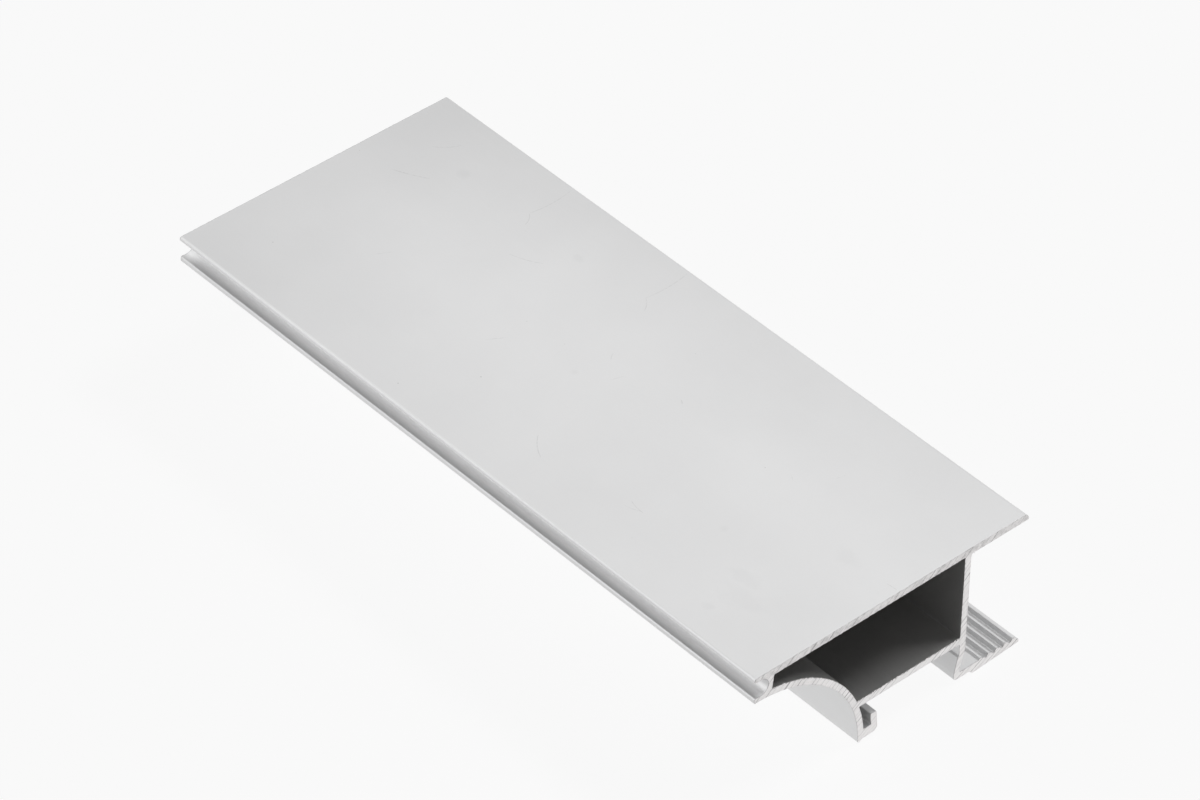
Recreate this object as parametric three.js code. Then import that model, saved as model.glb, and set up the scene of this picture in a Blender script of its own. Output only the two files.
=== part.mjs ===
// Hollow aluminium extrusion for a panel door: one sawn length of the section.
//
// The wide face is on top and the bar runs along Y. The section carries, from left to right, a seal
// groove under the edge of the face, a quarter-round finger grip that ends in a screen hook, a closed
// box chamber, and a deep pocket for the panel over a foot with gripping ridges.
//
// All sizes are millimetres. The section is drawn with x to the right from the left edge of the face
// and z up from the top of the face, so every z under the face is negative.

import * as THREE from 'three';

// ---------------------------------------------------------------- driving dimensions

const barLength = 150;

// face
const faceWidth = 62.2;
const faceThickness = 1.4;
const faceNoseRadius = 1.25;
const faceEdgeRadius = 0.4;

// seal groove, open to the left, between two lips
const sealLipThickness = 0.93;
const sealGrooveWidth = 3.5;
const sealGrooveDepth = 3.1;
const sealLowerLipThickness = 1.02;
const lipEdgeRadius = 0.3;

// web between the seal groove and the chamber; it leans by this much over its height
const webThickness = 0.98;
const webLean = 0.4;

// finger grip, a quarter circle
const gripInset = 0.3;
const gripRadius = 24;
const gripWall = 1.3;

// box chamber
const chamberHeight = 18.3;
const chamberFloor = 1.4;
const sideWall = 1.35;
const chamberFillet = 0.3;

// hook at the end of the grip
const hookSlotWidth = 1.85;
const hookSlotDepth = 2.55;
const hookSole = 2;
const hookLip = 1.4;
const hookLipLean = 0.35;
const hookUndercut = 0.22;
const hookChamfer = 0.7;
const hookSlotFillet = 0.3;
const dripBeadWidth = 0.55;
const dripBeadDepth = 0.38;

// panel pocket, open to the right
const pocketDepth = 13.35;
const pocketHeight = 26.4;

// leg from the chamber down to the foot
const legShift = 1;
const legKneeDrop = 1.9;
const legStep = 0.3;
const legStepDrop = 2.65;
const legBendRadius = 2.5;
const ankleHeight = 1.25;
const heelHeight = 1.6;
const heelRadius = 1.35;

// foot
const footThickness = 1.3;
const footReach = 13.05;
const footHeelInset = 1.3;
const footHeelRun = 0.85;
const footHeelStep = 0.75;
const footSoleRise = 0.65;
const footToeThickness = 0.55;
const footToeSlope = 0.95;
const footToeRadius = 0.25;

// gripping ridges on the foot; each has a steep side towards the leg and, towards the toe, a back
// that falls gently at first and then steeper, down to the next root
const ridgeCount = 5;
const ridgePitch = 1.9;
const ridgeStart = 3.9;
const ridgeRise = 0.3;
const ridgeDepth = 0.75;
const ridgeSteepRun = 0.5;
const ridgeRootRadius = 0.18;
const ridgeCrestRadius = 0.2;
const ridgeBackRun = 0.5;
const ridgeBackDrop = 0.16;
const ridgeBackRadius = 0.4;

// facets
const gripSteps = 44;
const grooveSteps = 14;
const filletTurnPerFacet = THREE.MathUtils.degToRad(18);

// ---------------------------------------------------------------- places worked out from them

const faceUnder = -faceThickness;

const sealGrooveTop = -sealLipThickness;
const sealGrooveBottom = sealGrooveTop - sealGrooveWidth;
const sealGrooveRadius = sealGrooveWidth / 2;

const gripTop = sealGrooveBottom - sealLowerLipThickness;
const gripCentre = { x: gripInset, z: gripTop - gripRadius };
const gripBackRadius = gripRadius + gripWall;

const webFaceX = sealGrooveDepth + webThickness;
const chamberLeftTop = webFaceX + webLean / 2;
const chamberLeftBottom = webFaceX - webLean / 2;
const chamberFloorTop = faceUnder - chamberHeight;
const chamberFloorUnder = chamberFloorTop - chamberFloor;
const wallOuter = faceWidth - pocketDepth;
const wallInner = wallOuter - sideWall;

const footTop = faceUnder - pocketHeight;
const footUnder = footTop - footThickness;
const heelBottom = footUnder - footHeelStep;
const toeBottom = heelBottom + footSoleRise;
const toeX = wallOuter + footReach;

const gripEndX = gripCentre.x + gripRadius;
const hookUnder = gripCentre.z + dripBeadDepth;
const hookSlotBottom = hookUnder + hookSole;
const hookLipTop = hookSlotBottom + hookSlotDepth;

// ---------------------------------------------------------------- outline helpers

// One corner of an outline, with the radius that rounds it.
function corner(x, z, radius = 0) {
  return { x, z, radius };
}

// Points along a circle from one angle to another, in radians, both ends included.
function arc(centre, radius, from, to, steps) {
  const points = [];
  for (let i = 0; i <= steps; i += 1) {
    const angle = from + ((to - from) * i) / steps;
    points.push(corner(centre.x + radius * Math.cos(angle), centre.z + radius * Math.sin(angle)));
  }
  return points;
}

// The angle on a circle where it is at height z, on its right-hand side.
function angleAtHeight(centre, radius, z) {
  return Math.asin((z - centre.z) / radius);
}

// The angle on a circle where it is at distance x, on its upper side.
function angleAtX(centre, radius, x) {
  return Math.acos((x - centre.x) / radius);
}

// Gives the end points of a run the radius of the corner that they stand on.
function withEndRadii(points, first, last) {
  points[0].radius = first;
  points[points.length - 1].radius = last;
  return points;
}

// Turns corners into outline points, each round made as an arc tangent to both of its sides.
function roundedOutline(corners) {
  const count = corners.length;
  const outline = [];
  corners.forEach((here, index) => {
    const at = new THREE.Vector2(here.x, here.z);
    const before = corners[(index + count - 1) % count];
    const after = corners[(index + 1) % count];
    const back = new THREE.Vector2(before.x, before.z).sub(at);
    const ahead = new THREE.Vector2(after.x, after.z).sub(at);
    const halfOpening = Math.acos(back.dot(ahead) / (back.length() * ahead.length())) / 2;
    const turn = Math.PI - 2 * halfOpening;
    if (here.radius === 0 || turn < filletTurnPerFacet / 4) {
      outline.push(at);
      return;
    }
    const room = 0.48 * Math.min(back.length(), ahead.length());
    const reach = Math.min(here.radius / Math.tan(halfOpening), room);
    const radius = reach * Math.tan(halfOpening);
    back.normalize();
    ahead.normalize();
    const middle = back.clone().add(ahead).normalize();
    const centre = at.clone().addScaledVector(middle, radius / Math.sin(halfOpening));
    const start = at.clone().addScaledVector(back, reach).sub(centre);
    const side = Math.sign(start.cross(at.clone().addScaledVector(ahead, reach).sub(centre)));
    const steps = Math.max(2, Math.ceil(turn / filletTurnPerFacet));
    for (let i = 0; i <= steps; i += 1) {
      const swing = (side * turn * i) / steps;
      outline.push(start.clone().rotateAround(new THREE.Vector2(), swing).add(centre));
    }
  });
  return outline;
}

// ---------------------------------------------------------------- stretches of the outer outline

// Lips and round bottom of the seal groove, from the lower lip up to the face.
function sealGroove() {
  const centre = { x: sealGrooveDepth - sealGrooveRadius, z: (sealGrooveTop + sealGrooveBottom) / 2 };
  return [
    corner(0, gripTop, lipEdgeRadius),
    corner(0, sealGrooveBottom, lipEdgeRadius),
    ...arc(centre, sealGrooveRadius, -Math.PI / 2, Math.PI / 2, grooveSteps),
    corner(0, sealGrooveTop, lipEdgeRadius),
  ];
}

// Top of the face and its flange over the pocket, down to the pocket's inner corner.
function faceAndFlange() {
  return [
    corner(0, 0, faceEdgeRadius),
    corner(faceWidth, 0, faceNoseRadius),
    corner(faceWidth, faceUnder, (faceThickness - faceNoseRadius) / 2),
    corner(wallOuter, faceUnder, chamberFillet),
  ];
}

// Upper side of the foot, with its ridges, from the leg to the toe.
function ridges() {
  const points = [];
  for (let i = 0; i < ridgeCount; i += 1) {
    const crest = wallOuter + ridgeStart + i * ridgePitch;
    const crestZ = footTop + ridgeRise;
    const rootZ = i === 0 ? footTop : crestZ - ridgeDepth;
    points.push(corner(crest - ridgeSteepRun, rootZ, ridgeRootRadius));
    points.push(corner(crest, crestZ, ridgeCrestRadius));
    if (i < ridgeCount - 1) {
      points.push(corner(crest + ridgeBackRun, crestZ - ridgeBackDrop, ridgeBackRadius));
    }
  }
  return points;
}

// Right-hand side of the leg, the foot and the left-hand side of the leg.
function legAndFoot() {
  const lastCrest = wallOuter + ridgeStart + (ridgeCount - 1) * ridgePitch;
  const toeShoulder = Math.max(lastCrest, toeX - footToeSlope);
  const kneeZ = chamberFloorUnder - legKneeDrop;
  return [
    corner(wallOuter, kneeZ, legBendRadius),
    corner(wallOuter - legShift, footTop + ankleHeight, legBendRadius),
    corner(wallOuter - legShift, footTop, chamberFillet),
    ...ridges(),
    corner(toeShoulder, footTop, ridgeCrestRadius),
    corner(toeX, toeBottom + footToeThickness, footToeRadius),
    corner(toeX, toeBottom, footToeRadius),
    corner(wallOuter + footHeelInset + footHeelRun, heelBottom, footToeRadius),
    corner(wallOuter + footHeelInset, footUnder, footToeRadius),
    corner(wallInner - legShift, footUnder, heelRadius),
    corner(wallInner - legShift, footUnder + heelHeight, legBendRadius),
    corner(wallInner - legStep, chamberFloorUnder - legStepDrop - legStep, ridgeRootRadius),
    corner(wallInner, chamberFloorUnder - legStepDrop, ridgeRootRadius),
  ];
}

// Back of the grip below the chamber, the hook's slot and its lip, and the bead at its tip.
function hook() {
  const slotTopAngle = angleAtHeight(gripCentre, gripBackRadius, chamberFloorUnder);
  const slotBottomAngle = angleAtHeight(gripCentre, gripBackRadius, hookSlotBottom);
  const slotLeft = gripCentre.x + gripBackRadius * Math.cos(slotBottomAngle);
  const slotRight = slotLeft + hookSlotWidth;
  const neck = slotRight - hookUndercut;
  const lipOuter = slotRight + hookLip;
  const neckZ = hookSlotBottom + hookSlotWidth / 2;
  const backOfGrip = arc(gripCentre, gripBackRadius, slotTopAngle, slotBottomAngle, gripSteps / 4);
  return [
    corner(wallInner, chamberFloorUnder, chamberFillet),
    ...withEndRadii(backOfGrip, chamberFillet, hookSlotFillet),
    corner(slotRight, hookSlotBottom, hookSlotFillet),
    corner(neck, neckZ, hookSlotFillet),
    corner(neck - hookUndercut / 2, hookLipTop, ridgeRootRadius),
    corner(lipOuter - hookLipLean, hookLipTop, lipEdgeRadius),
    corner(lipOuter, hookUnder + hookChamfer, lipEdgeRadius),
    corner(lipOuter - hookChamfer, hookUnder, lipEdgeRadius),
    corner(gripEndX + dripBeadWidth + dripBeadDepth, hookUnder, ridgeRootRadius),
    corner(gripEndX + dripBeadWidth, hookUnder - dripBeadDepth, ridgeRootRadius),
  ];
}

// Finger grip, from the tip of the hook round to the lower lip of the seal groove.
function fingerGrip() {
  const grip = arc(gripCentre, gripRadius, 0, Math.PI / 2, gripSteps);
  return withEndRadii(grip, ridgeRootRadius, 0);
}

// Box chamber, whose lower left side is the back of the grip.
function chamber() {
  const floorAngle = angleAtHeight(gripCentre, gripBackRadius, chamberFloorTop);
  const webAngle = angleAtX(gripCentre, gripBackRadius, chamberLeftBottom);
  const backOfGrip = arc(gripCentre, gripBackRadius, webAngle, floorAngle, gripSteps);
  return roundedOutline([
    corner(chamberLeftTop, faceUnder, chamberFillet),
    ...withEndRadii(backOfGrip, chamberFillet, chamberFillet),
    corner(wallInner, chamberFloorTop, chamberFillet),
    corner(wallInner, faceUnder, chamberFillet),
  ]);
}

// ---------------------------------------------------------------- the bar

const outerOutline = roundedOutline([
  ...sealGroove(),
  ...faceAndFlange(),
  ...legAndFoot(),
  ...hook(),
  ...fingerGrip(),
]);

const section = new THREE.Shape(outerOutline);
section.holes.push(new THREE.Path(chamber()));

const bar = new THREE.ExtrudeGeometry(section, { depth: barLength, bevelEnabled: false });
bar.rotateX(Math.PI / 2);

const millFinish = new THREE.MeshStandardMaterial({
  color: 0xd6d7d8,
  roughness: 0.42,
  metalness: 0.9,
});

// The bar stands on the lowest line of its section, centred over the origin.
const lowest = Math.min(...outerOutline.map((point) => point.y));
const profile = new THREE.Mesh(bar, millFinish);
profile.name = 'profile';
profile.position.set(-faceWidth / 2, barLength / 2, -lowest);

const extrusion = new THREE.Group();
extrusion.add(profile);

export default extrusion;
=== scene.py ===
"""Finish of a hollow aluminium extrusion for a panel door: one sawn length of the section.

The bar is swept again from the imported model's own section, with finer facets, ends that carry the
arcs of the saw, ragged arrises and the burrs that a saw leaves. The wide face is on top, X runs
across it, Y along the bar and Z up. Lengths are metres.
"""

import math

import bmesh
import bpy
import numpy as np
from mathutils import Euler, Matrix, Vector
from mathutils.geometry import delaunay_2d_cdt


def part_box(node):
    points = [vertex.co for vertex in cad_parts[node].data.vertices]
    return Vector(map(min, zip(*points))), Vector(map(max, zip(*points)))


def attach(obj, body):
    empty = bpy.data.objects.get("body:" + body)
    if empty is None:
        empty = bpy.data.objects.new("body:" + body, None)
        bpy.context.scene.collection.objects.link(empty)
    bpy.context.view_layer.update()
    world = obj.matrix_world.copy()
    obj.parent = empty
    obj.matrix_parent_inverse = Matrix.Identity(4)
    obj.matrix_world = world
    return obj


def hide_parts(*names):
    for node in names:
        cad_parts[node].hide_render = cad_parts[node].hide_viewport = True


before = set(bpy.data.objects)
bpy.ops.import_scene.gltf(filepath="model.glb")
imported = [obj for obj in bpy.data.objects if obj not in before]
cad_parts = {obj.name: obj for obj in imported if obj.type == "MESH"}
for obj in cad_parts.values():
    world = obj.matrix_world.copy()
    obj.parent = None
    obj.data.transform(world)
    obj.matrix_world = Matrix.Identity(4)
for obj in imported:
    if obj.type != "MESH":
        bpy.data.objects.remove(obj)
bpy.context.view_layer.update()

MM = 0.001

# ---------------------------------------------------------------- sizes, tones and levels

BAR_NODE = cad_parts["profile"]
BAR_LOW, BAR_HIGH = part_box("profile")
BAR_LENGTH = BAR_HIGH.y - BAR_LOW.y

# The face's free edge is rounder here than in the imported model, where the flange's thickness holds
# its radius back.
FACE_EDGE_RADIUS = 1.15 * MM
FACE_EDGE_FACETS = 12

BORDER_STEP = 0.12 * MM
SHEET_STEP = 0.24 * MM
SMOOTH_TURN = math.radians(24)
SHARP_EDGE = math.radians(32)

# How far a face's normal must lean along an axis for the face to count as the near end, as a flat
# that looks up, or as cut by the saw.
NEAR_END_LOOK = -0.9
FLAT_LOOK = 0.7
CUT_LOOK = 0.8

CAMERA_PLACE = (-0.526315, -0.588571, 0.703437)
CAMERA_AZIMUTH = math.radians(-41.887)
CAMERA_ELEVATION = math.radians(40.738)
CAMERA_ROLL = math.radians(0.723)
CAMERA_LENS = 181.40
CAMERA_SENSOR = 36.0
CAMERA_CLIP = (0.05, 20.0)

FLOOR_HALF = 3.0
FLOOR_GLOW = 0.92
ROOM_LEVEL = 0.12

# Each lamp's name, place, width, height and level.
SOFTBOXES = [
    ("key", (0.68, -0.28, 1.12), 0.42, 0.25, 0.27),
    ("fill", (-1.1, 0.0, 0.14), 0.25, 0.25, 0.24),
    ("edge", (-0.8, 0.6, 0.4), 0.4, 0.4, 0.035),
]

SATIN_TONE = (0.71, 0.71, 0.712, 1.0)
# The face's tone is paler than the outside's, though both are one satin: painted light on the face.
FACE_PAINTED_LIGHT_TONE = (0.775, 0.775, 0.777, 1.0)
# The chamber's tone is partly its mill finish and partly painted shade inside the chamber.
CHAMBER_MILL_AND_SHADE_TONE = (0.415, 0.412, 0.407, 1.0)
SAWN_TONE = (0.93, 0.912, 0.908, 1.0)
SATIN_METAL = 0.8
CHAMBER_METAL = 0.62
SAWN_METAL = 0.75

BLADE_RADIUS = 200 * MM
BLADE_HEIGHT = BAR_HIGH.z + 144 * MM
TOOTH_SPACING = 1.9 * MM

# How the saw's arcs stray: turns of the wander for each land, its reach in lands, and what keeps the
# wander and the lands of the two ends apart.
ARC_WANDER_RATE = 0.75
ARC_WANDER = 1.6
END_WANDER_SHIFT = 3.7
END_LAND_SHIFT = 57.0

# Hairline marks on the face, as (x, y) at each end from the near left corner of the face, then
# how far the middle bows to the left and how dark the mark is.
HAIRLINES = [
    ((60.8, 84.1), (51.0, 83.9), 0.5, 0.7),
    ((51.0, 83.9), (48.4, 81.4), 0.3, 0.8),
    ((60.8, 114.8), (51.0, 114.8), 0.5, 0.7),
    ((51.0, 114.8), (48.4, 112.9), 0.3, 0.8),
    ((54.4, 137.4), (50.3, 140.5), 0.4, 0.8),
    ((43.6, 102.7), (40.9, 108.5), 0.3, 0.8),
    ((43.9, 133.9), (40.5, 140.5), 0.2, 1.0),
    ((25.7, 91.6), (22.4, 93.6), 0.0, 0.7),
    ((25.7, 122.4), (22.5, 124.1), 0.0, 0.6),
    ((13.0, 68.7), (9.5, 63.9), -0.4, 1.0),
    ((13.3, 42.1), (13.8, 45.7), 0.2, 0.9),
    ((13.2, 42.9), (12.2, 45.6), 0.1, 0.5),
    ((37.7, 31.8), (38.5, 33.0), 0.0, 0.8),
    ((45.3, 27.1), (43.7, 27.5), 0.0, 0.7),
    ((36.9, 58.7), (37.5, 59.6), 0.0, 0.9),
    ((35.3, 75.3), (36.8, 76.4), 0.1, 0.6),
    ((34.1, 70.7), (31.6, 71.5), 0.0, 0.6),
    ((32.3, 0.8), (32.1, 2.8), 0.0, 0.9),
]

# Rubbed patches on the face: centre from the same corner, then reach across and along the bar.
SCUFFS = [
    ((31.6, 11.6), (2.4, 3.6)),
    ((15.3, 19.4), (2.4, 4.6)),
    ((11.4, 16.4), (3.2, 7.0)),
    ((6.0, 18.2), (1.3, 1.6)),
    ((20.7, 30.5), (1.1, 1.2)),
    ((28.5, 77.0), (0.9, 1.0)),
    ((49.4, 130.7), (1.6, 2.0)),
    ((49.4, 99.8), (1.4, 1.8)),
]

# Places on the section's outline where burrs hang, as (x, z) from the top left corner of the section
# and how far each patch reaches.
BURR_PATCHES = [
    ((48.3, 0.0), 1.7),
    ((38.0, 0.0), 0.9),
    ((6.4, -4.9), 0.7),
    ((8.2, -5.2), 0.5),
    ((12.6, -7.2), 0.6),
    ((23.6, -19.7), 0.6),
    ((43.4, -19.7), 0.5),
]

# The chance of a burr at the middle of a patch, before it is cut to one; it loses one for each reach.
BURR_FADE = 1.3

# The least and the most that a burr leans across, along and up, and its size the same way as shares
# of the burrs' length.
BURR_LEAN = ((-0.5, 0.2, -0.5), (0.5, 1.5, 0.5))
BURR_SIZE = ((0.25, 0.1, 0.35), (0.6, 0.25, 1.0))


# ---------------------------------------------------------------- node building


class Tree:
    """Fills a node tree one node at a time; inputs are plain values or other nodes' sockets."""

    def __init__(self, tree):
        self.tree = tree

    def add(self, kind, inputs=None, **settings):
        node = self.tree.nodes.new(kind)
        for name, value in settings.items():
            setattr(node, name, value)
        for key, value in (inputs or {}).items():
            self.feed(value, node.inputs[key])
        return node

    def feed(self, value, socket):
        if isinstance(value, bpy.types.NodeSocket):
            self.tree.links.new(value, socket)
        else:
            socket.default_value = value

    def math(self, operation, *values):
        return self.add("ShaderNodeMath", dict(enumerate(values)), operation=operation).outputs[0]

    def vector_math(self, operation, *values, output="Vector"):
        node = self.add("ShaderNodeVectorMath", dict(enumerate(values)), operation=operation)
        return node.outputs[output]

    def times(self, vector, factor):
        inputs = {0: vector, "Scale": factor}
        return self.add("ShaderNodeVectorMath", inputs, operation="SCALE").outputs[0]

    def combine(self, x=0.0, y=0.0, z=0.0):
        return self.add("ShaderNodeCombineXYZ", {0: x, 1: y, 2: z}).outputs[0]

    def separate(self, vector):
        return self.add("ShaderNodeSeparateXYZ", {0: vector}).outputs

    def span(self, value, low, high, to_low=0.0, to_high=1.0, smooth=False):
        """Carries value from one range to another, clamped."""
        kind = "SMOOTHSTEP" if smooth else "LINEAR"
        inputs = {0: value, 1: low, 2: high, 3: to_low, 4: to_high}
        return self.add("ShaderNodeMapRange", inputs, interpolation_type=kind).outputs[0]

    def noise(self, vector, scale, detail=2.0, roughness=0.5):
        inputs = {"Vector": vector, "Scale": scale, "Detail": detail, "Roughness": roughness}
        return self.add("ShaderNodeTexNoise", inputs).outputs[0]

    def mottle(self, vector, size, **looks):
        """Noise whose spots are about size across."""
        return self.noise(vector, 1.0 / size, **looks)

    def chance(self, number):
        """A number from 0 to 1 that is fixed for each whole number."""
        return self.add("ShaderNodeTexWhiteNoise", {"W": number}, noise_dimensions="1D").outputs[0]

    def join(self, *parts):
        """Several geometries as one."""
        node = self.tree.nodes.new("GeometryNodeJoinGeometry")
        for part in reversed(parts):
            self.tree.links.new(part, node.inputs[0])
        return node.outputs[0]

    def highest(self, masks):
        """The largest of several masks."""
        top = masks[0]
        for mask in masks[1:]:
            top = self.math("MAXIMUM", top, mask)
        return top


FLOAT, INT, VECTOR = "NodeSocketFloat", "NodeSocketInt", "NodeSocketVector"
GEOMETRY, MATERIAL = "NodeSocketGeometry", "NodeSocketMaterial"


def new_group(name, kind, inputs, outputs):
    """An empty node group with named sockets: its tree, its inputs by name and its outputs by name."""
    tree = bpy.data.node_groups.new(name, kind)
    for label, (socket_type, default) in inputs.items():
        socket = tree.interface.new_socket(label, in_out="INPUT", socket_type=socket_type)
        if default is not None:
            socket.default_value = default
    for label, socket_type in outputs.items():
        tree.interface.new_socket(label, in_out="OUTPUT", socket_type=socket_type)
    given = tree.nodes.new("NodeGroupInput").outputs
    wanted = tree.nodes.new("NodeGroupOutput").inputs
    return Tree(tree), given, wanted


def saw_arcs(t, place, radius, height, spacing):
    """Nodes for the arcs that a saw's teeth leave: the line of each tooth and the land between two.

    An arc is a stretch of the blade's rim, whose centre is height above the floor. The outputs are the
    place counted in lands, the number of the land, and how far across it a point is, from -0.5 to 0.5.
    It serves the shading and the shape alike, so the lines of both coincide.
    """
    x, y, z = t.separate(place)
    drop = t.math("SUBTRACT", z, height)
    squares = t.math("SUBTRACT", t.math("POWER", radius, 2.0), t.math("POWER", drop, 2.0))
    rim = t.math("SQRT", squares)
    along = t.math("DIVIDE", t.math("SUBTRACT", x, rim), spacing)
    side = t.math("SIGN", y)
    drawn = t.combine(along, t.math("MULTIPLY", side, END_WANDER_SHIFT), 0.0)
    wander = t.noise(drawn, ARC_WANDER_RATE, detail=1.0)
    counted = t.math("ADD", along, t.math("MULTIPLY", wander, ARC_WANDER))
    index = t.math("ADD", t.math("FLOOR", counted), t.math("MULTIPLY", side, END_LAND_SHIFT))
    across = t.math("SUBTRACT", t.math("FRACT", counted), 0.5)
    return counted, index, across


# ---------------------------------------------------------------- shader groups


def groove_painted_light_group():
    """Painted light and shade in the seal groove: brightest along the foot of its round and darker than
    the rest elsewhere in it.
    """
    t, given, out = new_group(
        "groove_painted_light",
        "ShaderNodeTree",
        {
            "Coordinates": (VECTOR, None),
            "Mouth": (FLOAT, BAR_LOW.x + 0.2 * MM),
            "Bottom": (FLOAT, BAR_HIGH.z - 4.46 * MM),
            "Top": (FLOAT, BAR_HIGH.z - 0.93 * MM),
            "Bright Place": (FLOAT, BAR_LOW.x + 1.8 * MM),
        },
        {"Painted Light": FLOAT},
    )
    x, _, z = t.separate(given["Coordinates"])
    inside = t.math("GREATER_THAN", x, given["Mouth"])
    back = t.math("ADD", given["Mouth"], 3.2 * MM)
    inside = t.math("MULTIPLY", inside, t.math("LESS_THAN", x, back))
    inside = t.math("MULTIPLY", inside, t.math("GREATER_THAN", z, given["Bottom"]))
    inside = t.math("MULTIPLY", inside, t.math("LESS_THAN", z, given["Top"]))
    here = t.combine(x, 0.0, z)
    brightest = t.combine(given["Bright Place"], 0.0, given["Bottom"])
    away = t.vector_math("DISTANCE", here, brightest, output="Value")
    t.feed(t.math("MULTIPLY", inside, t.span(away, 0.2 * MM, 1.6 * MM, 1.0, -0.4)), out["Painted Light"])
    return t.tree


def saw_marks_group():
    """The saw's lines, the tone of each land between them, the torn metal and the relief of both."""
    t, given, out = new_group(
        "saw_marks",
        "ShaderNodeTree",
        {
            "Coordinates": (VECTOR, None),
            "Blade Radius": (FLOAT, BLADE_RADIUS),
            "Blade Height": (FLOAT, BLADE_HEIGHT),
            "Tooth Spacing": (FLOAT, TOOTH_SPACING),
            "Line Width": (FLOAT, 0.11),
        },
        {"Line": FLOAT, "Land": FLOAT, "Tears": FLOAT, "Height": FLOAT},
    )
    counted, index, across = saw_arcs(
        t, given["Coordinates"], given["Blade Radius"], given["Blade Height"], given["Tooth Spacing"]
    )
    land = t.chance(index)
    line_darkness = t.span(t.chance(t.math("ADD", index, 0.5)), 0.0, 1.0, 0.15, 1.0)
    line_shape = t.span(t.math("ABSOLUTE", across), 0.0, given["Line Width"], 1.0, 0.0, smooth=True)
    broken = t.span(t.mottle(given["Coordinates"], 0.5 * MM, detail=1.0), 0.3, 0.55, 0.6, 1.0)
    line = t.math("MULTIPLY", t.math("MULTIPLY", line_shape, line_darkness), broken)
    t.feed(line, out["Line"])
    t.feed(land, out["Land"])
    height_up = t.math("DIVIDE", t.separate(given["Coordinates"])["Z"], given["Tooth Spacing"])
    drawn = t.combine(t.math("MULTIPLY", counted, 8.0), 0.0, height_up)
    t.feed(t.noise(drawn, 1.0, detail=3.0, roughness=0.6), out["Tears"])
    tilt = t.math("MULTIPLY", t.math("SUBTRACT", land, 0.5), across)
    t.feed(t.math("SUBTRACT", tilt, line), out["Height"])
    return t.tree


def fine_grain_group():
    """The metal's fine grain and the faint clouds in it."""
    t, given, out = new_group(
        "fine_grain",
        "ShaderNodeTree",
        {
            "Coordinates": (VECTOR, None),
            "Grain Size": (FLOAT, 0.22 * MM),
            "Cloud Size": (FLOAT, 12 * MM),
        },
        {"Grain": FLOAT, "Clouds": FLOAT},
    )
    grain_scale = t.math("DIVIDE", 1.0, given["Grain Size"])
    cloud_scale = t.math("DIVIDE", 1.0, given["Cloud Size"])
    t.feed(t.noise(given["Coordinates"], grain_scale, detail=3.0, roughness=0.65), out["Grain"])
    t.feed(t.noise(given["Coordinates"], cloud_scale, detail=3.0, roughness=0.55), out["Clouds"])
    return t.tree


def die_lines_group():
    """Faint streaks along the bar from the die."""
    t, given, out = new_group(
        "die_lines",
        "ShaderNodeTree",
        {"Coordinates": (VECTOR, None), "Spacing": (FLOAT, 0.5 * MM), "Run": (FLOAT, 90 * MM)},
        {"Streaks": FLOAT},
    )
    x, y, z = t.separate(given["Coordinates"])
    across = t.math("DIVIDE", 1.0, given["Spacing"])
    along = t.math("DIVIDE", 1.0, given["Run"])
    scaled = [t.math("MULTIPLY", *pair) for pair in ((x, across), (y, along), (z, across))]
    t.feed(t.noise(t.combine(*scaled), 1.0, detail=4.0, roughness=0.6), out["Streaks"])
    return t.tree


def specks_group():
    """Sparse small spots, of dust and pitting."""
    t, given, out = new_group(
        "specks",
        "ShaderNodeTree",
        {
            "Coordinates": (VECTOR, None),
            "Spacing": (FLOAT, 4 * MM),
            "Share": (FLOAT, 0.35),
            "Largest": (FLOAT, 0.2 * MM),
        },
        {"Mask": FLOAT},
    )
    cells = t.add(
        "ShaderNodeTexVoronoi",
        {"Vector": given["Coordinates"], "Scale": t.math("DIVIDE", 1.0, given["Spacing"])},
    )
    distance = t.math("MULTIPLY", cells.outputs["Distance"], given["Spacing"])
    red, green, _ = t.add("ShaderNodeSeparateColor", {0: cells.outputs["Color"]}).outputs
    chosen = t.math("LESS_THAN", red, given["Share"])
    radius = t.math("MULTIPLY", given["Largest"], t.span(green, 0.0, 1.0, 0.4, 1.0))
    spot = t.span(t.math("DIVIDE", distance, radius), 0.5, 1.0, 1.0, 0.0, smooth=True)
    t.feed(t.math("MULTIPLY", spot, chosen), out["Mask"])
    return t.tree


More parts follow.
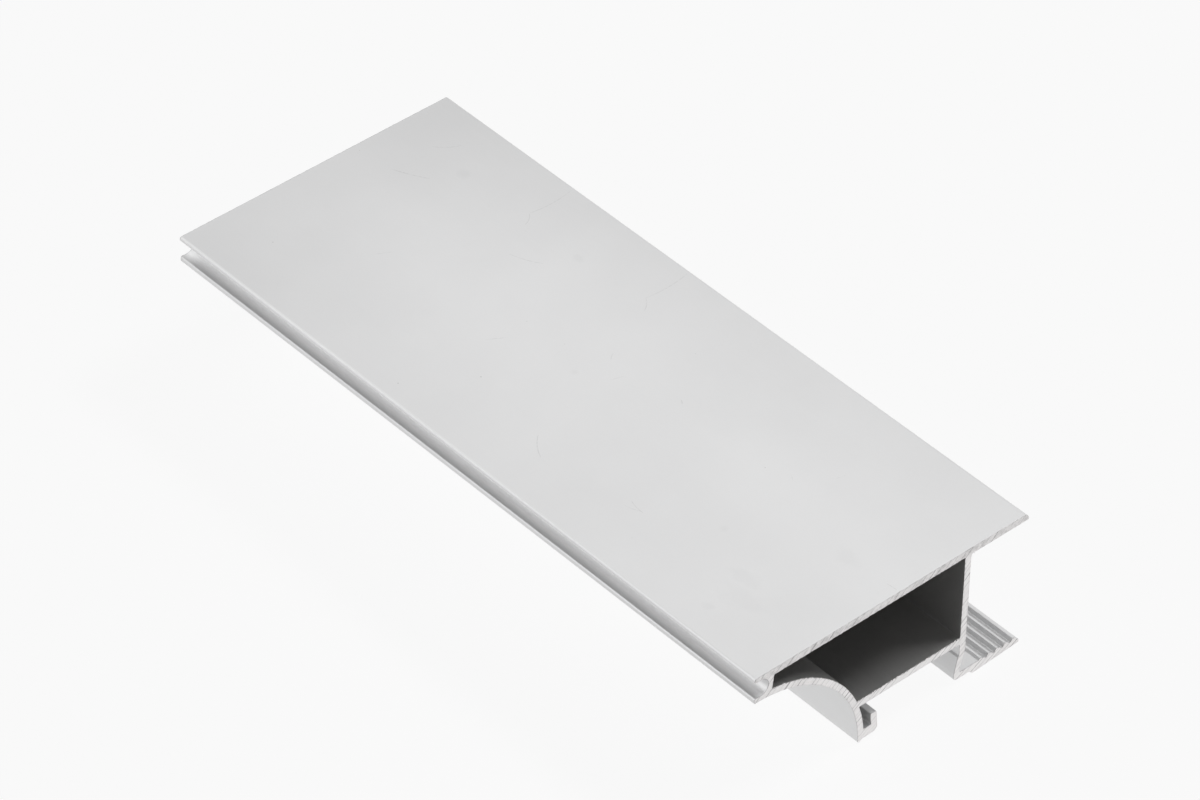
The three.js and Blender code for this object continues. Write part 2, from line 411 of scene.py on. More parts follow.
def hairline_group():
    """One fine mark on the face between two points, bowed and tapered, with breaks in it."""
    t, given, out = new_group(
        "hairline",
        "ShaderNodeTree",
        {
            "Coordinates": (VECTOR, None),
            "Start": (VECTOR, None),
            "End": (VECTOR, None),
            "Bow": (FLOAT, 0.0),
            "Width": (FLOAT, 0.1 * MM),
        },
        {"Mask": FLOAT},
    )
    run = t.vector_math("SUBTRACT", given["End"], given["Start"])
    reach = t.vector_math("SUBTRACT", given["Coordinates"], given["Start"])
    length = t.vector_math("LENGTH", run, output="Value")
    direction = t.vector_math("NORMALIZE", run)
    travelled = t.vector_math("DOT_PRODUCT", reach, direction, output="Value")
    share = t.math("DIVIDE", travelled, length)
    held = t.math("MINIMUM", t.math("MAXIMUM", share, 0.0), 1.0)
    swell = t.math("MULTIPLY", t.math("MULTIPLY", held, t.math("SUBTRACT", 1.0, held)), 4.0)
    left = t.vector_math("CROSS_PRODUCT", (0.0, 0.0, 1.0), direction)
    aside = t.vector_math("DOT_PRODUCT", reach, left, output="Value")
    off_line = t.math("SUBTRACT", aside, t.math("MULTIPLY", given["Bow"], swell))
    past_end = t.math("SUBTRACT", travelled, t.math("MULTIPLY", held, length))
    squares = t.math("ADD", t.math("POWER", off_line, 2.0), t.math("POWER", past_end, 2.0))
    distance = t.math("SQRT", squares)
    width = t.math("MULTIPLY", given["Width"], t.span(swell, 0.0, 1.0, 0.5, 1.0))
    line = t.span(t.math("DIVIDE", distance, width), 0.3, 1.2, 1.0, 0.0, smooth=True)
    breaks = t.span(t.mottle(given["Coordinates"], 0.6 * MM, detail=1.0), 0.35, 0.6, 0.2, 1.0)
    t.feed(t.math("MULTIPLY", line, breaks), out["Mask"])
    return t.tree


def scuff_group():
    """One rubbed patch with a ragged border."""
    t, given, out = new_group(
        "scuff",
        "ShaderNodeTree",
        {
            "Coordinates": (VECTOR, None),
            "Centre": (VECTOR, None),
            "Reach": (VECTOR, (1.0, 1.0, 1.0)),
        },
        {"Mask": FLOAT},
    )
    offset = t.vector_math("SUBTRACT", given["Coordinates"], given["Centre"])
    share = t.vector_math("DIVIDE", offset, given["Reach"])
    distance = t.vector_math("LENGTH", share, output="Value")
    swing = t.span(t.mottle(given["Coordinates"], 2.2 * MM), 0.0, 1.0, -0.45, 0.45)
    ragged = t.math("ADD", distance, swing)
    t.feed(t.span(ragged, 0.25, 1.0, 1.0, 0.0, smooth=True), out["Mask"])
    return t.tree


SAW_MARKS = saw_marks_group()
GROOVE_PAINTED_LIGHT = groove_painted_light_group()
FINE_GRAIN = fine_grain_group()
DIE_LINES = die_lines_group()
SPECKS = specks_group()
HAIRLINE = hairline_group()
SCUFF = scuff_group()


# ---------------------------------------------------------------- materials


def new_material(name):
    """A material with a Principled shader: its tree, the shader and the object coordinates."""
    material = bpy.data.materials.new(name)
    material.use_nodes = True
    t = Tree(material.node_tree)
    material.node_tree.nodes.clear()
    shader = t.add("ShaderNodeBsdfPrincipled")
    surface = t.add("ShaderNodeOutputMaterial")
    t.feed(shader.outputs[0], surface.inputs["Surface"])
    coordinates = t.add("ShaderNodeTexCoord").outputs["Object"]
    return material, t, shader, coordinates


def placed(t, tree, **inputs):
    """A shader group placed in a material; underscores in a name stand for spaces."""
    node = t.add("ShaderNodeGroup", node_tree=tree)
    for name, value in inputs.items():
        t.feed(value, node.inputs[name.replace("_", " ")])
    return node.outputs


def on_face(x, y):
    """A point of the face in millimetres from its near left corner, in the bar's own metres."""
    return (BAR_LOW.x + x * MM, BAR_LOW.y + y * MM, BAR_HIGH.z)


def rim_mask(t):
    """One on the arris round each sawn end and zero elsewhere."""
    return t.add("ShaderNodeAttribute", attribute_name="rim").outputs["Fac"]


def relief(t, shader, height, depth, strength):
    """Gives the shader's surface bumps of the given depth."""
    bump = t.add("ShaderNodeBump", {"Strength": strength, "Distance": depth, "Height": height})
    t.feed(bump.outputs[0], shader.inputs["Normal"])


def shaded(t, tone, parts):
    """tone times one plus the sum of (mask or noise, middle, strength) parts."""
    factor = 1.0
    for value, middle, strength in parts:
        swing = t.math("MULTIPLY", t.math("SUBTRACT", value, middle), strength)
        factor = t.math("ADD", factor, swing)
    return t.times(tone[:3], factor)


def satin_face():
    """The wide face: fine satin with handling marks, in a tone paler than the outside's as painted
    light, and with painted shade and painted highlights by place on it.
    """
    material, t, shader, here = new_material("satin_face")
    grain = placed(t, FINE_GRAIN, Coordinates=here)
    streaks = placed(t, DIE_LINES, Coordinates=here)["Streaks"]
    specks = placed(t, SPECKS, Coordinates=here)["Mask"]
    lines = []
    for start, end, bow, darkness in HAIRLINES:
        ends = {"Start": on_face(*start), "End": on_face(*end)}
        mark = placed(t, HAIRLINE, Coordinates=here, **ends, Bow=bow * MM)["Mask"]
        lines.append(t.math("MULTIPLY", mark, darkness))
    hairlines = t.highest(lines)
    patches = []
    for centre, (across, along) in SCUFFS:
        patch = {"Centre": on_face(*centre), "Reach": (across * MM, along * MM, 1.0)}
        patches.append(placed(t, SCUFF, Coordinates=here, **patch)["Mask"])
    scuffs = t.highest(patches)
    rim = rim_mask(t)
    ragged = t.math("MULTIPLY", rim, t.span(t.mottle(here, 0.9 * MM), 0.45, 0.6))
    haze = t.mottle(here, 38 * MM, detail=2.0)
    x, y, _ = t.separate(here)
    # Painted shade on the face: darker towards the near end, the far end and both long edges.
    near = t.span(y, BAR_LOW.y + 30 * MM, BAR_LOW.y + 75 * MM, 1.0, 0.0)
    far = t.span(y, BAR_LOW.y + 95 * MM, BAR_HIGH.y, smooth=True)
    left = t.span(x, BAR_LOW.x, -4 * MM, 1.0, 0.0)
    right = t.span(x, 4 * MM, BAR_HIGH.x)
    # Painted highlight on the face's rounded right edge.
    painted_edge_highlight = t.span(x, BAR_HIGH.x - 0.7 * MM, BAR_HIGH.x - 0.4 * MM)
    # Painted highlight along the face's left arris, growing towards the far end.
    painted_arris_highlight = t.math("LESS_THAN", x, BAR_LOW.x + 0.42 * MM)
    painted_arris_highlight = t.math("MULTIPLY", painted_arris_highlight, t.span(y, BAR_LOW.y + 10 * MM, BAR_HIGH.y))
    tone = shaded(
        t,
        FACE_PAINTED_LIGHT_TONE,
        [
            (grain["Grain"], 0.5, 0.05),
            (grain["Clouds"], 0.5, 0.04),
            (streaks, 0.5, 0.01),
            (specks, 0.0, -0.22),
            (hairlines, 0.0, -0.16),
            (scuffs, 0.0, -0.025),
            (haze, 0.5, 0.09),
            (near, 0.0, -0.015),
            (far, 0.0, -0.085),
            (left, 0.0, -0.03),
            (right, 0.0, -0.06),
            (painted_edge_highlight, 0.0, 0.12),
            (painted_arris_highlight, 0.0, 0.13),
            # The rim and ragged terms darken the arris at each sawn end: ragged torn metal, with
            # painted shade along it.
            (rim, 0.0, -0.12),
            (ragged, 0.0, -0.3),
        ],
    )
    t.feed(tone, shader.inputs["Base Color"])
    roughness = t.span(grain["Grain"], 0.0, 1.0, 0.42, 0.5)
    roughness = t.math("ADD", roughness, t.math("MULTIPLY", scuffs, 0.04))
    roughness = t.math("ADD", roughness, t.math("MULTIPLY", rim, 0.35))
    t.feed(roughness, shader.inputs["Roughness"])
    height = t.math("SUBTRACT", t.math("MULTIPLY", grain["Grain"], 0.4), hairlines)
    relief(t, shader, height, 0.01 * MM, 0.25)
    shader.inputs["Metallic"].default_value = SATIN_METAL
    return material


def satin_outside():
    """The lips, grip, pocket and foot: the face's satin without its painted light, with more of the
    die's streaks, painted light and shade in the seal groove and painted shade along each sawn arris.
    """
    material, t, shader, here = new_material("satin_outside")
    grain = placed(t, FINE_GRAIN, Coordinates=here)
    streaks = placed(t, DIE_LINES, Coordinates=here)["Streaks"]
    specks = placed(t, SPECKS, Coordinates=here, Spacing=3.5 * MM, Largest=0.22 * MM)["Mask"]
    rim = rim_mask(t)
    # Painted light and shade in the seal groove, by place in the section.
    painted_groove_light = placed(t, GROOVE_PAINTED_LIGHT, Coordinates=here)["Painted Light"]
    tone = shaded(
        t,
        SATIN_TONE,
        [
            (painted_groove_light, 0.0, 0.36),
            (grain["Grain"], 0.5, 0.08),
            (grain["Clouds"], 0.5, 0.05),
            (streaks, 0.5, 0.04),
            (specks, 0.0, -0.14),
            # Painted shade along the arris at each sawn end.
            (rim, 0.0, -0.6),
        ],
    )
    t.feed(tone, shader.inputs["Base Color"])
    roughness = t.span(grain["Grain"], 0.0, 1.0, 0.4, 0.5)
    roughness = t.math("ADD", roughness, t.math("MULTIPLY", rim, 0.35))
    t.feed(roughness, shader.inputs["Roughness"])
    height = t.math("ADD", t.math("MULTIPLY", grain["Grain"], 0.5), t.math("MULTIPLY", streaks, 0.8))
    relief(t, shader, height, 0.01 * MM, 0.3)
    shader.inputs["Metallic"].default_value = SATIN_METAL
    return material


def chamber_mill_and_shade():
    """The walls of the chamber, as the press left them, in a darker tone that is partly their mill
    finish and partly painted shade.
    """
    material, t, shader, here = new_material("chamber_mill_and_shade")
    grain = placed(t, FINE_GRAIN, Coordinates=here, Grain_Size=0.35 * MM)
    streaks = placed(t, DIE_LINES, Coordinates=here, Spacing=0.8 * MM)["Streaks"]
    specks = placed(t, SPECKS, Coordinates=here, Spacing=3 * MM, Largest=0.25 * MM)["Mask"]
    tone = shaded(
        t,
        CHAMBER_MILL_AND_SHADE_TONE,
        [
            (grain["Grain"], 0.5, 0.12),
            (grain["Clouds"], 0.5, 0.1),
            (streaks, 0.5, 0.08),
            (specks, 0.0, 0.3),
        ],
    )
    t.feed(tone, shader.inputs["Base Color"])
    t.feed(t.span(streaks, 0.0, 1.0, 0.4, 0.52), shader.inputs["Roughness"])
    relief(t, shader, streaks, 0.02 * MM, 0.3)
    shader.inputs["Metallic"].default_value = CHAMBER_METAL
    return material


def sawn_end():
    """The ends: bright torn metal under the arcs of the saw, darker where an arris is ragged."""
    material, t, shader, here = new_material("sawn_end")
    marks = placed(t, SAW_MARKS, Coordinates=here)
    grain = placed(t, FINE_GRAIN, Coordinates=here, Grain_Size=0.3 * MM, Cloud_Size=1.1 * MM)
    rim = rim_mask(t)
    ragged = t.math("MULTIPLY", rim, t.span(t.mottle(here, 0.9 * MM), 0.35, 0.65))
    pitting = {"Spacing": 2.5 * MM, "Share": 0.3, "Largest": 0.24 * MM}
    pits = placed(t, SPECKS, Coordinates=here, **pitting)["Mask"]
    in_face = t.span(t.separate(here)["Z"], BAR_HIGH.z - 1.6 * MM, BAR_HIGH.z - 1.2 * MM)
    torn = t.math("MULTIPLY", in_face, t.span(marks["Tears"], 0.4, 0.62, 0.25, 1.0))
    blotches = t.math("MULTIPLY", in_face, t.span(grain["Clouds"], 0.46, 0.62))
    lines = t.math("MULTIPLY", marks["Line"], t.span(in_face, 0.0, 1.0, 1.0, 0.65))
    tone = shaded(
        t,
        SAWN_TONE,
        [
            (lines, 0.0, -0.8),
            (marks["Tears"], 0.5, 0.3),
            (marks["Land"], 0.5, 0.08),
            (grain["Grain"], 0.5, 0.16),
            (blotches, 0.0, -0.16),
            (torn, 0.0, -0.15),
            (ragged, 0.0, -0.2),
            (pits, 0.0, -0.35),
        ],
    )
    t.feed(tone, shader.inputs["Base Color"])
    t.feed(t.span(grain["Grain"], 0.0, 1.0, 0.35, 0.55), shader.inputs["Roughness"])
    relief(t, shader, marks["Height"], 0.04 * MM, 0.5)
    shader.inputs["Metallic"].default_value = SAWN_METAL
    return material


# ---------------------------------------------------------------- the section


def near_end_loops(node):
    """The closed outlines of the bar's near end, in the order of their edges, outer outline first."""
    mesh = bmesh.new()
    mesh.from_mesh(node.data)
    bmesh.ops.remove_doubles(mesh, verts=mesh.verts, dist=0.0005 * MM)
    ahead = {}
    for face in mesh.faces:
        if face.normal.y > NEAR_END_LOOK:
            continue
        for loop in face.loops:
            other = loop.link_loop_radial_next
            if other.face.normal.y > NEAR_END_LOOK:
                start, end = loop.vert, loop.link_loop_next.vert
                ahead[start] = end
    loops = []
    while ahead:
        start = next(iter(ahead))
        points, here = [], start
        while here in ahead:
            points.append((here.co.x, here.co.z))
            here = ahead.pop(here)
        loops.append(np.array(points))
    mesh.free()
    return sorted(loops, key=lambda points: -np.ptp(points[:, 0]))


def rounder_face_edge(points):
    """The outer outline with the face's free edge rounded over most of the flange's thickness."""
    centre = np.array([BAR_HIGH.x, BAR_HIGH.z]) - FACE_EDGE_RADIUS
    replaced = (points > centre).all(axis=1)
    first = np.flatnonzero(replaced & ~np.roll(replaced, 1))[0]
    kept = np.roll(points, -first, axis=0)[replaced.sum() :]
    angles = np.linspace(0, math.pi / 2, FACE_EDGE_FACETS + 1)
    return np.concatenate([centre + FACE_EDGE_RADIUS * np.c_[np.cos(angles), np.sin(angles)], kept])


def smooth_tangents(points):
    """Unit directions into and out of each corner of a closed outline.

    They are equal at a corner that belongs to a curve. There the longer side gives the direction
    if it is the straight that the curve leaves, and the mean does within the curve.
    """
    ahead = np.roll(points, -1, axis=0) - points
    length = np.linalg.norm(ahead, axis=1)
    out = ahead / length[:, None]
    into = np.roll(out, 1, axis=0)
    before = np.roll(length, 1)
    cosine = np.clip((into * out).sum(axis=1), -1, 1)
    curved = np.arccos(cosine) < SMOOTH_TURN
    mean = into + out
    mean /= np.linalg.norm(mean, axis=1)[:, None]
    even = np.abs(before - length) < 0.06 * np.maximum(before, length)
    shared = np.where(even[:, None], mean, np.where((before > length)[:, None], into, out))
    tangent_in = np.where(curved[:, None], shared, into)
    tangent_out = np.where(curved[:, None], shared, out)
    return tangent_in, tangent_out, length


def finer_outline(points, step):
    """The outline with rounded curves and no side above step, and at each point the way outwards."""
    tangent_in, tangent_out, length = smooth_tangents(points)
    places = []
    for i, start in enumerate(points):
        j = (i + 1) % len(points)
        end, pull, push = points[j], tangent_in[j] * length[i], tangent_out[i] * length[i]
        count = max(1, math.ceil(length[i] / step))
        for k in range(count):
            s = k / count
            places.append(
                (2 * s**3 - 3 * s**2 + 1) * start
                + (s**3 - 2 * s**2 + s) * push
                + (3 * s**2 - 2 * s**3) * end
                + (s**3 - s**2) * pull
            )
    places = np.array(places)
    run = np.roll(places, -1, axis=0) - np.roll(places, 1, axis=0)
    outward = np.c_[run[:, 1], -run[:, 0]]
    return places, outward / np.linalg.norm(outward, axis=1)[:, None]


def inside(points, outline):
    """Which points are inside a closed outline."""
    within = np.zeros(len(points), bool)
    ends = np.roll(outline, -1, axis=0)
    for (x0, z0), (x1, z1) in zip(outline, ends):
        spans = (z0 > points[:, 1]) != (z1 > points[:, 1])
        if z0 != z1:
            crossing = x0 + (points[:, 1] - z0) * (x1 - x0) / (z1 - z0)
            within ^= spans & (points[:, 0] < crossing)
    return within


def in_metal(points, outlines):
    """Which points are inside the outer outline and outside the chamber's."""
    return inside(points, outlines[0]) & ~inside(points, outlines[1])


def metal_points(outlines, step):
    """A staggered grid of points inside the metal, clear of its outlines."""
    low, high = outlines[0].min(axis=0), outlines[0].max(axis=0)
    rows = np.arange(low[1], high[1], step * 0.87)
    columns = np.arange(low[0], high[0], step)
    grid = np.array([(x + step * 0.5 * (r % 2), z) for r, z in enumerate(rows) for x in columns])
    grid = grid[in_metal(grid, outlines)]
    border = np.concatenate(outlines)
    clear = [np.hypot(*(border - point).T).min() > 0.6 * step for point in grid]
    return grid[np.array(clear)]


def single_precision(points):
    """The points as the triangulation reads them, so that its slivers are judged as it made them."""
    return points.astype(np.float32).astype(np.float64)


def metal_triangles(places, counts, outlines):
    """Triangles between the places that fill the metal and keep each side of its outlines.

    The outlines' points come first in places, as many for each as counts says.
    """
    edges, first = [], 0
    for count in counts:
        edges += [(first + i, first + (i + 1) % count) for i in range(count)]
        first += count
    verts, _, faces, *_ = delaunay_2d_cdt([Vector(p) for p in places], edges, [], 0, 1e-6)
    flat = np.array([tuple(v) for v in verts])
    assert len(flat) == len(places) and np.abs(flat - places).max() < 1e-4
    faces = np.array(faces)
    return faces[in_metal(places[faces].mean(axis=1), outlines)]


def burr_shares(places):
    """How likely a burr is at each place of the section, from 0 to 1."""
    corner = np.array([BAR_LOW.x, BAR_HIGH.z]) / MM
    shares = np.zeros(len(places), np.float32)
    for centre, reach in BURR_PATCHES:
        distance = np.hypot(*(places - corner - centre).T)
        shares = np.maximum(shares, np.clip(BURR_FADE - distance / reach, 0, 1))
    return shares


def section_sheet(node, finish):
    """The metal of the section as a flat, finely meshed sheet at the middle of the bar.

    It faces the near end. Each point of its border has the way out of the metal in "outward" and a 1
    in "rim", and also a 1 in "chamber" if it is on the chamber's outline. "burr" is the chance of a
    burr at the point.
    """
    outlines, ways_out = [], []
    outer, chamber_loop = near_end_loops(node)
    for loop in (rounder_face_edge(outer), chamber_loop):
        places, outward = finer_outline(loop / MM, BORDER_STEP / MM)
        outlines.append(single_precision(places))
        ways_out.append(outward)
    filling = single_precision(metal_points(outlines, SHEET_STEP / MM))
    counts = [len(outline) for outline in outlines]
    places = np.concatenate([*outlines, filling])
    triangles = metal_triangles(places, counts, outlines)
    corners = np.c_[places[:, 0], np.zeros(len(places)), places[:, 1]] * MM
    mesh = bpy.data.meshes.new("section_sheet")
    mesh.from_pydata(corners.tolist(), [], triangles.tolist())
    mesh.materials.append(finish)
    border = sum(counts)
    outward = np.zeros((len(places), 3), np.float32)
    outward[:border, [0, 2]] = np.concatenate(ways_out)
    on_border = np.arange(len(places)) < border
    on_chamber = on_border & (np.arange(len(places)) >= counts[0])
    mesh.attributes.new("outward", "FLOAT_VECTOR", "POINT").data.foreach_set("vector", outward.ravel())
    marks = {"rim": on_border, "chamber": on_chamber, "burr": burr_shares(places)}
    for name, values in marks.items():
        attribute = mesh.attributes.new(name, "FLOAT", "POINT")
        attribute.data.foreach_set("value", values.astype(np.float32))
    if mesh.polygons[0].normal.y > 0:
        mesh.flip_normals()
    return mesh


# ---------------------------------------------------------------- the sawn bar


def stored(t, geometry, name, value, kind="FLOAT", selection=True):
    """geometry with value kept under name on its selected points."""
    inputs = {"Geometry": geometry, "Selection": selection, "Name": name, "Value": value}
    keeper = t.add("GeometryNodeStoreNamedAttribute", inputs, data_type=kind, domain="POINT")
    return keeper.outputs[0]


def read(t, name, kind="FLOAT"):
    """The value kept under name."""
    return t.add("GeometryNodeInputNamedAttribute", {"Name": name}, data_type=kind).outputs[0]


def within_bar(t, place):
    """place, moved no further than it takes to be inside the bar's own box."""
    held = t.vector_math("MINIMUM", place, tuple(BAR_HIGH))
    return t.vector_math("MAXIMUM", held, tuple(BAR_LOW))


def end_position(t, given, side):
    """Where a point of the section lies on one sawn end.

    side is -1 at the near end and 1 at the far end.
    """
    section = read(t, "section_place", "FLOAT_VECTOR")
    outward = read(t, "outward", "FLOAT_VECTOR")
    rim = read(t, "rim")
    x, _, z = t.separate(section)
    half = t.math("MULTIPLY", given["Length"], 0.5 * side)
    blade = (given["Blade Radius"], given["Blade Height"], given["Tooth Spacing"])
    _, index, across = saw_arcs(t, t.combine(x, half, z), *blade)
    tilt = t.math("MULTIPLY", t.math("SUBTRACT", t.chance(index), 0.5), across)
    land = t.math("ADD", tilt, 0.25)
    seed = t.math("MULTIPLY", given["Seed"], 3.1 * side)
    drawn = t.vector_math("ADD", t.times(section, 1.0 / (0.5 * MM)), t.combine(0.0, seed, 0.0))
    roughness = t.math("MULTIPLY", t.noise(drawn, 1.0), 0.5)
    depth = t.math("MULTIPLY", t.math("ADD", land, roughness), given["Kerf Depth"])
    inset = t.math("ADD", depth, given["Setback"])
    along = t.math("SUBTRACT", half, t.math("MULTIPLY", inset, side))
    swing = t.vector_math("ADD", t.times(section, 1.0 / (0.45 * MM)), t.combine(seed, 0.0, 0.0))
    rag = t.math("SUBTRACT", t.noise(swing, 1.0, detail=2.0, roughness=0.6), 0.5)
    exit_side = t.span(t.separate(outward)["Z"], 0.75, 1.0, 0.25, 1.0)
    open_side = t.span(read(t, "chamber"), 0.0, 1.0, 0.11, 1.0)
    nick = t.math("MULTIPLY", rag, exit_side)
    nick = t.math("MULTIPLY", nick, t.math("MULTIPLY", given["Nick Depth"], rim))
    nick = t.math("MULTIPLY", nick, open_side)
    return within_bar(t, t.vector_math("ADD", t.combine(x, along, z), t.times(outward, nick)))


def moved(t, geometry, position, selection=True):
    """geometry with its selected points at position."""
    inputs = {"Geometry": geometry, "Selection": selection, "Position": position}
    return t.add("GeometryNodeSetPosition", inputs).outputs[0]


def painted(t, geometry, material, selection=True):
    """geometry with material on its selected faces."""
    inputs = {"Geometry": geometry, "Selection": selection, "Material": material}
    return t.add("GeometryNodeSetMaterial", inputs).outputs[0]


def swept(t, mesh, selection, offset):
    """mesh with the selected edges drawn along the bar by offset, and the edges that they end on."""
    inputs = {0: mesh, 1: selection, 2: t.combine(0.0, offset, 0.0)}
    node = t.add("GeometryNodeExtrudeMesh", inputs, mode="EDGES")
    return node.outputs["Mesh"], node.outputs["Top"]


def random_vector(t, limits, seed):
    """A vector drawn for each point between the two limits."""
    inputs = {0: limits[0], 1: limits[1], "Seed": seed}
    return t.add("FunctionNodeRandomValue", inputs, data_type="FLOAT_VECTOR").outputs[0]


def burr_flakes(t, given, sheet, border, side):
    """Small torn flakes in the burr patches of one end, leaning out of it.

    side is as in end_position.
    """
    outline = t.add("GeometryNodeMeshToCurve", {0: sheet, 1: border}).outputs[0]
    inputs = {0: outline, "Length": given["Burr Spacing"]}
    points = t.add("GeometryNodeCurveToPoints", inputs, mode="LENGTH")
    outward = read(t, "outward", "FLOAT_VECTOR")
    inputs = {2: 0.0, 3: 1.0, "Seed": given["Seed"]}
    draw = t.add("FunctionNodeRandomValue", inputs, data_type="FLOAT").outputs[1]
    wanted = t.math("LESS_THAN", draw, read(t, "burr"))
    inputs = {"Vertices": 4, "Radius Top": 0.02, "Radius Bottom": 0.3, "Depth": 1.0}
    flake = t.add("GeometryNodeMeshCone", inputs)
    lean = random_vector(t, BURR_LEAN, given["Seed"])
    aim = t.vector_math("ADD", outward, t.vector_math("MULTIPLY", lean, (1.0, side, 1.0)))
    turn = t.add("FunctionNodeAlignRotationToVector", {"Vector": aim}, axis="Z").outputs[0]
    size = random_vector(t, BURR_SIZE, t.math("ADD", given["Seed"], 5.0))
    inputs = {
        "Points": points.outputs[0],
        "Selection": wanted,
        "Instance": flake.outputs[0],
        "Rotation": turn,
        "Scale": t.times(size, given["Burr Length"]),
    }
    flakes = t.add("GeometryNodeInstanceOnPoints", inputs).outputs[0]
    loose = t.add("GeometryNodeRealizeInstances", {0: flakes}).outputs[0]
    place = t.add("GeometryNodeInputPosition").outputs[0]
    inputs = {"Vector": place, "Scale": 1.0 / (0.3 * MM)}
    crumple = t.add("ShaderNodeTexNoise", inputs).outputs["Color"]
    bent = t.vector_math("ADD", place, t.times(crumple, 0.05 * MM))
    return stored(t, moved(t, loose, within_bar(t, bent)), "flake", 1.0)


def finished(t, given, bar, place):
    """bar with its four finishes; place is where its points are."""
    normal = t.separate(t.add("GeometryNodeInputNormal").outputs[0])
    height = t.separate(place)["Z"]
    level = t.math("GREATER_THAN", normal["Z"], FLAT_LOOK)
    on_top = t.math("MULTIPLY", level, t.math("GREATER_THAN", height, BAR_HIGH.z - 0.4 * MM))
    in_chamber = t.math("GREATER_THAN", read(t, "chamber"), 0.9)
    cut = t.math("GREATER_THAN", t.math("ABSOLUTE", normal["Y"]), CUT_LOOK)
    flake = t.math("GREATER_THAN", read(t, "flake"), 0.5)
    bar = painted(t, bar, given["Outside Finish"])
    bar = painted(t, bar, given["Face Finish"], on_top)
    bar = painted(t, bar, given["Chamber Finish"], in_chamber)
    return painted(t, bar, given["Sawn Finish"], t.math("MAXIMUM", cut, flake))


def sawn_bar_tree():
    """Sweeps a section sheet into a bar with two sawn ends."""
    t, given, out = new_group(
        "sawn_bar",
        "GeometryNodeTree",
        {
            "Section": (GEOMETRY, None),
            "Length": (FLOAT, 0.0),
            "Setback": (FLOAT, 0.06 * MM),
            "Edge Ring": (FLOAT, 0.14 * MM),
            "Blade Radius": (FLOAT, 0.0),
            "Blade Height": (FLOAT, 0.0),
            "Tooth Spacing": (FLOAT, 0.0),
            "Kerf Depth": (FLOAT, 0.04 * MM),
            "Nick Depth": (FLOAT, 1.6 * MM),
            "Burr Spacing": (FLOAT, 0.3 * MM),
            "Burr Length": (FLOAT, 0.4 * MM),
            "Seed": (INT, 0),
            "Face Finish": (MATERIAL, None),
            "Outside Finish": (MATERIAL, None),
            "Chamber Finish": (MATERIAL, None),
            "Sawn Finish": (MATERIAL, None),
        },
        {"Bar": GEOMETRY},
    )
    place = t.add("GeometryNodeInputPosition").outputs[0]
    sheet = stored(t, given["Section"], "section_place", place, "FLOAT_VECTOR")
    border = t.math("COMPARE", t.add("GeometryNodeInputMeshEdgeNeighbors").outputs[0], 1.0, 0.1)
    near_end = moved(t, sheet, end_position(t, given, -1))
    flipped = t.add("GeometryNodeFlipFaces", {0: sheet}).outputs[0]
    far_end = moved(t, flipped, end_position(t, given, 1))

    x, _, z = t.separate(read(t, "section_place", "FLOAT_VECTOR"))
    half = t.math("MULTIPLY", given["Length"], 0.5)
    ring = t.math("ADD", given["Setback"], given["Edge Ring"])
    body, front = swept(t, near_end, border, given["Edge Ring"])
    body = moved(t, body, t.combine(x, t.math("SUBTRACT", ring, half), z), front)
    body = stored(t, body, "rim", 0.0, selection=front)
    body, front = swept(t, body, front, given["Length"])
    body = moved(t, body, t.combine(x, t.math("SUBTRACT", half, ring), z), front)
    body, front = swept(t, body, front, given["Edge Ring"])
    body = stored(t, body, "rim", 1.0, selection=front)
    body = moved(t, body, end_position(t, given, 1), front)
    closed = t.join(body, far_end)
    closed = t.add("GeometryNodeMergeByDistance", {0: closed, 2: 0.001 * MM}).outputs[0]
    angle = t.add("GeometryNodeInputMeshEdgeAngle").outputs[0]
    smooth = t.math("LESS_THAN", angle, SHARP_EDGE)
    inputs = {0: closed, "Shade Smooth": smooth}
    closed = t.add("GeometryNodeSetShadeSmooth", inputs, domain="EDGE").outputs[0]

    near_flakes = burr_flakes(t, given, near_end, border, -1)
    far_flakes = burr_flakes(t, given, far_end, border, 1)
    flakes = t.join(near_flakes, far_flakes)
    whole = t.add("GeometryNodeRealizeInstances", {0: t.join(closed, flakes)}).outputs[0]
    t.feed(finished(t, given, whole, place), out["Bar"])
    return t.tree


def made_by_nodes(name, mesh, tree, values):
    """A plain mesh object that a node tree makes from mesh, with its inputs set by name."""
    maker = bpy.data.objects.new(name + "_maker", mesh)
    bpy.context.scene.collection.objects.link(maker)
    modifier = maker.modifiers.new("make", "NODES")
    modifier.node_group = tree
    for item in tree.interface.items_tree:
        if item.in_out == "INPUT" and item.name in values:
            modifier[item.identifier] = values[item.name]
    depsgraph = bpy.context.evaluated_depsgraph_get()
    made = bpy.data.meshes.new_from_object(maker.evaluated_get(depsgraph), depsgraph=depsgraph)
    bpy.data.objects.remove(maker)
    made.name = name
    made.materials.pop(index=made.materials[:].index(None))
    piece = bpy.data.objects.new(name, made)
    bpy.context.scene.collection.objects.link(piece)
    return piece


outside = satin_outside()
bar = made_by_nodes(
    "profile_bar",
    section_sheet(BAR_NODE, outside),
    sawn_bar_tree(),
    {
        "Length": BAR_LENGTH,
        "Blade Radius": BLADE_RADIUS,
        "Blade Height": BLADE_HEIGHT,
        "Tooth Spacing": TOOTH_SPACING,
        "Seed": 11,
        "Face Finish": satin_face(),
        "Outside Finish": outside,
        "Chamber Finish": chamber_mill_and_shade(),
        "Sawn Finish": sawn_end(),
    },
)
for leftover in ("burr", "chamber", "flake", "outward", "section_place"):
    bar.data.attributes.remove(bar.data.attributes[leftover])
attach(bar, "root")
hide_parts("profile")


# ---------------------------------------------------------------- floor, light and camera


def background_share(t):
    """One for a ray that shows the background itself: seen directly, in metal or through glass."""
    path = t.add("ShaderNodeLightPath").outputs
    return t.highest([path["Is Camera Ray"], path["Is Glossy Ray"], path["Is Transmission Ray"]])


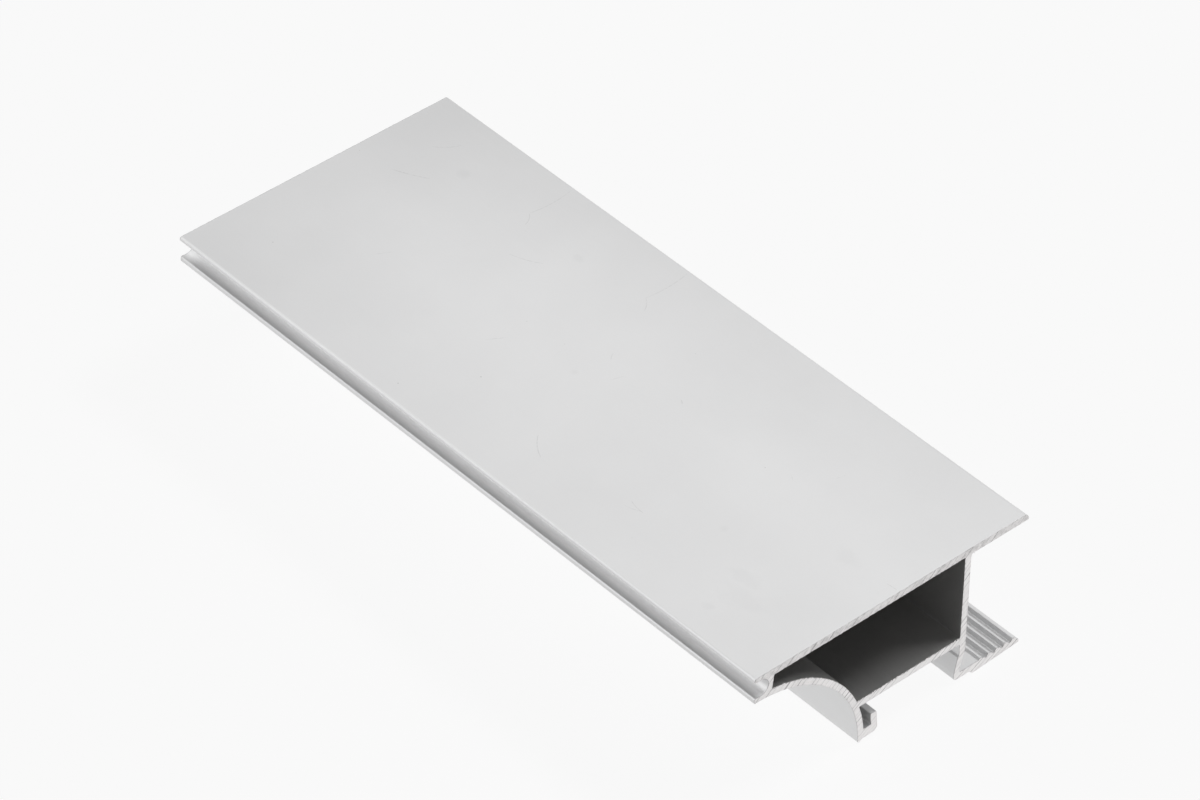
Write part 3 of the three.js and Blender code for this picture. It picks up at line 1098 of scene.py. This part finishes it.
def white_floor():
    """A pale floor that shows white and keeps a light shadow of the bar."""
    material = bpy.data.materials.new("white_floor")
    material.use_nodes = True
    material.node_tree.nodes.clear()
    t = Tree(material.node_tree)
    paint = t.add("ShaderNodeBsdfDiffuse", {"Color": (0.9, 0.9, 0.9, 1.0)})
    glow = t.add("ShaderNodeEmission", {"Strength": 1.0})
    share = t.math("MULTIPLY", background_share(t), FLOOR_GLOW)
    mixed = t.add("ShaderNodeMixShader", {0: share, 1: paint.outputs[0], 2: glow.outputs[0]})
    t.add("ShaderNodeOutputMaterial", {"Surface": mixed.outputs[0]})
    mesh = bpy.data.meshes.new("floor")
    far = FLOOR_HALF
    corners = [(-far, -far, 0), (far, -far, 0), (far, far, 0), (-far, far, 0)]
    mesh.from_pydata(corners, [], [(0, 1, 2, 3)])
    mesh.materials.append(material)
    floor = bpy.data.objects.new("floor", mesh)
    bpy.context.scene.collection.objects.link(floor)


def white_room():
    """Even light from all round, and a white backdrop."""
    world = bpy.data.worlds.new("white_room")
    bpy.context.scene.world = world
    world.use_nodes = True
    world.node_tree.nodes.clear()
    t = Tree(world.node_tree)
    strength = t.span(background_share(t), 0.0, 1.0, ROOM_LEVEL, 1.0)
    light = t.add("ShaderNodeBackground", {"Color": (1.0, 1.0, 1.0, 1.0), "Strength": strength})
    t.add("ShaderNodeOutputWorld", {"Surface": light.outputs[0]})


def softbox(name, place, width, height, level):
    """An area lamp aimed at the bar; level is its share of the light on a surface that faces it."""
    lamp = bpy.data.lights.new(name, "AREA")
    lamp.shape = "RECTANGLE"
    lamp.size, lamp.size_y = width, height
    place = Vector(place)
    lamp.energy = level * (math.pi * place.length) ** 2
    box = bpy.data.objects.new(name, lamp)
    box.location = place
    box.rotation_euler = place.to_track_quat("Z", "Y").to_euler()
    bpy.context.scene.collection.objects.link(box)


def camera():
    """The camera, above the near end and to the left of it."""
    data = bpy.data.cameras.new("camera")
    data.lens = CAMERA_LENS
    data.sensor_width = CAMERA_SENSOR
    data.clip_start, data.clip_end = CAMERA_CLIP
    view = bpy.data.objects.new("camera", data)
    turn = Euler((0.0, 0.0, CAMERA_AZIMUTH)).to_matrix()
    turn @= Euler((math.pi / 2 - CAMERA_ELEVATION, 0.0, 0.0)).to_matrix()
    turn @= Euler((0.0, 0.0, CAMERA_ROLL)).to_matrix()
    view.location = CAMERA_PLACE
    view.rotation_euler = turn.to_euler()
    bpy.context.scene.collection.objects.link(view)
    bpy.context.scene.camera = view


white_floor()
white_room()
for lamp in SOFTBOXES:
    softbox(*lamp)
camera()
bpy.context.scene.view_settings.view_transform = "Standard"
